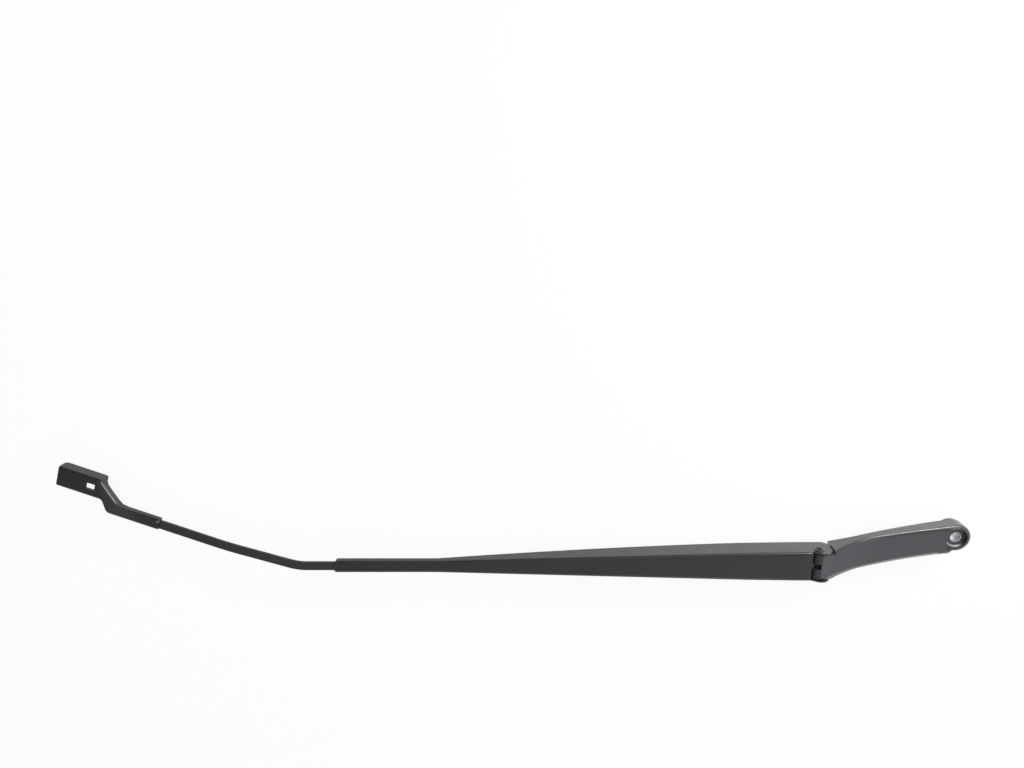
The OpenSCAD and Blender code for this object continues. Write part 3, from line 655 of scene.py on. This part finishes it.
def adaptor_coat():
    coat = satin_coat("adaptor_coat", (0.0165, 0.0178, 0.0184), 0.32, 0.012)
    x, y, z = coat.along("XYZ")
    along, across = x - STAKE_X, y - STAKE_Y
    reach = (along * along * 0.35 + across * across) ** 0.5
    # A small lighter spot on the sleeve at the stake.
    stake_spot = reach.below(0.5, 1.9) * (coat.noise(900, 3.0, 0.6) * 0.6 + 0.4)
    # Painted highlight: the neck is lighter where its slant catches the light.
    painted = coat.blend(x.span(*NECK_LIGHT_X) * 0.6, coat.colour, (0.043, 0.047, 0.047))
    painted = coat.blend(stake_spot, painted, (0.16, 0.16, 0.165))
    # Painted highlight: a light line along the neck's fold.
    painted = coat.blend(fold_highlight(x, y, z) * 0.8, painted, (0.34, 0.34, 0.34))
    return coat.surface(Base_Color=painted)


FINISH["blade_adaptor"] = adaptor_coat()
print("adaptor coat with its scuff at", (STAKE_X, STAKE_Y))

# %% [markdown]
# ## Bare steel and plastic at the hinge
# The link, the spring and the anchor pin are zinc-plated steel. The pin is cut from drawn bar,
# which keeps fine lines along its length, and the link is stamped from rolled sheet, which keeps
# a grain. The spring's wire turns all the way, so its grain is left even. The bushes are black
# acetal plastic, which looks slightly waxy and has no grain. Fine noise, stretched by a Mapping
# node, gives the grain its direction, and a broad noise stains the zinc.


# %% Steel and acetal
def bare_steel(name, colour, rough, stretch):
    steel = Finish(name)
    grain = steel.node("Mapping", {}, Vector=steel.place, Scale=stretch)
    lines = steel.noise(500, 3.0, 0.6, place=grain)
    stain = steel.noise(60, 3.0, 0.6)
    return steel.surface(
        Base_Color=steel.blend(stain.between(0.35, 0.7), darker(colour, 0.28), colour),
        Metallic=1.0,
        Roughness=lines * 0.16 + stain * 0.12 + rough,
        Normal=steel.relief(lines, 0.006 * MM),
    )


def acetal(name, colour):
    plastic = Finish(name)
    haze = plastic.noise(120)
    return plastic.surface(
        Base_Color=plastic.blend(haze, darker(colour, 0.2), colour),
        Roughness=haze * 0.15 + 0.34,
        Normal=plastic.relief(plastic.noise(1500), 0.006 * MM),
    )


FINISH["spring_link"] = bare_steel("link_zinc", (0.52, 0.52, 0.53), 0.26, (0.15, 1, 1))
FINISH["anchor_pin"] = bare_steel("pin_zinc", (0.60, 0.60, 0.61), 0.22, (1, 0.2, 1))
FINISH["tension_spring"] = bare_steel("spring_zinc", (0.46, 0.46, 0.47), 0.24, (1, 1, 1))
FINISH["hinge_bush_upper"] = acetal("bush_acetal", (0.025, 0.025, 0.028))
FINISH["hinge_bush_lower"] = FINISH["hinge_bush_upper"]
for name, material in FINISH.items():
    for holder in {nodes[name], SHELLS.get(name, nodes[name])}:
        holder.data.materials.clear()
        holder.data.materials.append(material)
print("finishes on", len(FINISH), "nodes")

# %% [markdown]
# ## White sweep
# The picture has a white ground with almost no shadow. The floor is pale and lit by the same soft
# sky as the arm. For the camera it is lifted towards white, and the shadow that is left keeps the
# arm on the ground. In the arm's own gloss the floor glows, and more so towards the spindle, where
# the lamp stands, which gives the upper walls their light tone. That is a matter of which kind of
# ray asks, so the Light Path node decides it.

# %% Floor
FLOOR_HALF = 12.0
FLOOR_MIDDLE_X = -0.4
FLOOR_GAP = 0.4 * MM
FLOOR_WHITE = 0.9
LAMP_SIDE_X = (-620, 40)


def paper_finish():
    paper = Finish("paper")
    paper.surface(Base_Color=(0.86, 0.86, 0.86), Roughness=0.9, Specular_IOR_Level=0.0)
    mirrored = paper.ray("Glossy")
    (x,) = paper.along("X")
    level = 1 + mirrored * x.between(*LAMP_SIDE_X)
    glow = paper.node("Emission", {}, Color=level, Strength=1.0)
    seen = paper.ray("Camera").larger(mirrored)
    plain = Wave(paper, paper.shader.outputs[0])
    mix = paper.node("MixShader", {}, seen * FLOOR_WHITE, plain, glow)
    paper.feed(paper.tree.nodes["Material Output"].inputs["Surface"], mix)
    return paper.material


def pale_floor(z):
    mesh = bpy.data.meshes.new("floor")
    shape = bmesh.new()
    bmesh.ops.create_grid(shape, x_segments=1, y_segments=1, size=FLOOR_HALF)
    bmesh.ops.translate(shape, verts=shape.verts, vec=(FLOOR_MIDDLE_X, 0, z))
    shape.to_mesh(mesh)
    shape.free()
    mesh.materials.append(paper_finish())
    floor = bpy.data.objects.new("floor", mesh)
    bpy.context.scene.collection.objects.link(floor)


FLOOR_Z = cad_box[0].z - FLOOR_GAP
pale_floor(FLOOR_Z)
print("floor at", round(FLOOR_Z, 5))

# %% [markdown]
# ## Soft light
# A light tent gives soft light from all round, a little more from the right and the back. The sky
# does the same as one formula on the direction of the ray: the sum of its part to the right, its
# part to the back and a plain level. Gloss sees a formula of its own, which falls off more and
# has a bright strip low in front that draws the lower edges, and the camera sees white. Two soft
# boxes add the highlights: a small one near the spindle and a large one overhead.

# %% Sky
SKY_LEVEL = 0.72
GLOSS_OVERHEAD = 0.35
GLOSS_LEAST = 0.06
LOW_STRIP = 3.2


def sky():
    world = bpy.data.worlds.new("sky")
    bpy.context.scene.world = world
    air = Patch(world)
    way = air.node("TexCoord", {}, output="Generated")
    right, back, up = air.axes(way, "XYZ")
    low_front = (1 - up.larger(0)) ** 2 * (right * 0.5 + 0.6).larger(0.1) * (0.5 - back * 0.5)
    tent = (right * 0.4 - back * 0.35 + GLOSS_OVERHEAD).larger(GLOSS_LEAST)
    mirrored = tent + low_front * LOW_STRIP
    soft = (right * 0.55 + back * 0.2 + 1) * SKY_LEVEL
    gloss, seen = air.ray("Glossy"), air.ray("Camera")
    strength = seen + gloss * mirrored + (1 - seen - gloss) * soft
    air.feed(air.tree.nodes["Background"].inputs["Color"], strength)


sky()
print("sky at level", SKY_LEVEL)


# %% Lamps
def lamp(name, place, aim, size, watts):
    data = bpy.data.lights.new(name, "AREA")
    data.shape = "RECTANGLE"
    data.size, data.size_y = size
    data.energy = watts
    light = bpy.data.objects.new(name, data)
    light.location = place
    light.rotation_mode = "QUATERNION"
    light.rotation_quaternion = (Vector(aim) - Vector(place)).to_track_quat("-Z", "Y")
    light.visible_camera = False
    bpy.context.scene.collection.objects.link(light)


lamp("softbox_key", (0.21, 0.57, 0.37), (-0.05, 0, 0), (0.2, 0.2), 4)
lamp("softbox_top", (-0.3, 0.6, 1.6), (-0.4, 0, 0), (1.2, 0.8), 4)
print("two soft boxes set")
